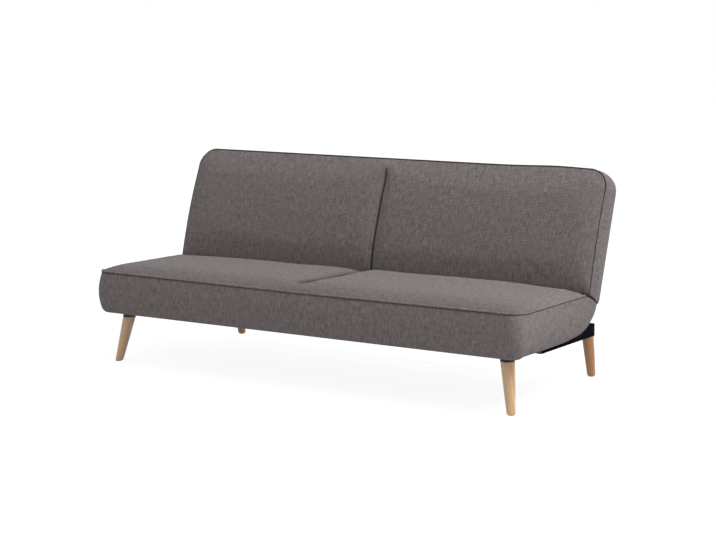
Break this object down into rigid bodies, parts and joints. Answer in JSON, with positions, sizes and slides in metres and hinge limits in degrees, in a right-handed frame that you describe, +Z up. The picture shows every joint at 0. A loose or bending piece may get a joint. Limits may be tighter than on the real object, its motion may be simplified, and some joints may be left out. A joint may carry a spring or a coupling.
{
  "type": "click clack sofa bed",
  "caption": "Armless upholstered sofa bed on tapered wooden legs; its backrest drops flat on two ratchet hinges to make a bed.",
  "frame": {"origin": "on the floor, under the middle of the sofa's length and depth", "axes": "+X along the length, to the right seen from the front; +Y to the rear; +Z up"},
  "size_m": [1.824, 0.7452, 0.7559],
  "materials": {
    "fabric": "coarse grey-brown melange chenille with a fine rib",
    "foam": "open-cell foam",
    "lining": "black non-woven lining",
    "webbing": "woven elastic webbing",
    "pine": "sawn softwood",
    "oak": "clear matt lacquer on light oak",
    "spring_steel": "bare spring wire",
    "zinc_steel": "zinc plated",
    "black_steel": "satin black powder coat",
    "black_plastic": "moulded, matt",
    "nylon": "moulded, beige"
  },
  "bodies": {
    "base": {"seat_cover": "fabric", "seat_foam": "foam", "seat_dust_cover": "lining", "seat_frame_front": "pine", "seat_frame_rear": "pine", "seat_frame_middle": "pine", "seat_frame_side_left": "pine", "seat_frame_side_right": "pine", "seat_rail_bearer_left": "pine", "seat_rail_bearer_right": "pine", "seat_spring_left_1": "spring_steel", "seat_spring_left_2": "spring_steel", "seat_spring_left_3": "spring_steel", "seat_spring_right_1": "spring_steel", "seat_spring_right_2": "spring_steel", "seat_spring_right_3": "spring_steel", "base_rail_left": "black_steel", "base_rail_right": "black_steel", "cross_tube_front": "black_steel", "cross_tube_rear": "black_steel", "leg_plate_left": "black_steel", "leg_plate_right": "black_steel", "rail_cap_front_left": "black_plastic", "rail_cap_front_right": "black_plastic", "rail_cap_rear_left": "black_plastic", "rail_cap_rear_right": "black_plastic", "foot_glide_front_left": "nylon", "foot_glide_front_right": "nylon", "foot_glide_rear_left": "nylon", "foot_glide_rear_right": "nylon", "hinge_plate_left": "black_steel", "hinge_plate_right": "black_steel", "leg_front_left": "oak", "leg_front_right": "oak", "leg_rear_left": "oak", "leg_rear_right": "oak", "leg_bolt_front_left": "zinc_steel", "leg_bolt_front_right": "zinc_steel", "leg_bolt_rear_left": "zinc_steel", "leg_bolt_rear_right": "zinc_steel", "hinge_pivot_bolt_left": "zinc_steel", "hinge_pivot_bolt_right": "zinc_steel", "pawl_pin_left": "zinc_steel", "pawl_pin_right": "zinc_steel"},
    "backrest": {"back_cover": "fabric", "back_foam": "foam", "back_lining": "lining", "back_frame_bottom": "pine", "back_frame_top": "pine", "back_frame_side_left": "pine", "back_frame_side_right": "pine", "back_hinge_post_left": "pine", "back_hinge_post_right": "pine", "back_webbing_1": "webbing", "back_webbing_2": "webbing", "back_webbing_3": "webbing", "hinge_arm_left": "black_steel", "hinge_arm_right": "black_steel"},
    "pawl_left": {"ratchet_pawl_left": "black_steel"},
    "pawl_right": {"ratchet_pawl_right": "black_steel"}
  },
  "joints": [
    {"name": "back_recline", "type": "hinge", "parent": "base", "child": "backrest", "pos_m": [0, 0.17369, 0.27931], "axis": [-1, 0, 0], "range_deg": [-6, 71.7]},
    {"name": "pawl_left_lift", "type": "hinge", "parent": "base", "child": "pawl_left", "pos_m": [-0.8146, 0.1543, 0.23289], "axis": [-1, 0, 0], "range_deg": [0, 10], "stiffness_Nm_per_rad": 0.3, "springref_deg": -20.05},
    {"name": "pawl_right_lift", "type": "hinge", "parent": "base", "child": "pawl_right", "pos_m": [0.8146, 0.1543, 0.23289], "axis": [-1, 0, 0], "range_deg": [0, 10], "stiffness_Nm_per_rad": 0.3, "springref_deg": -20.05}
  ]
}
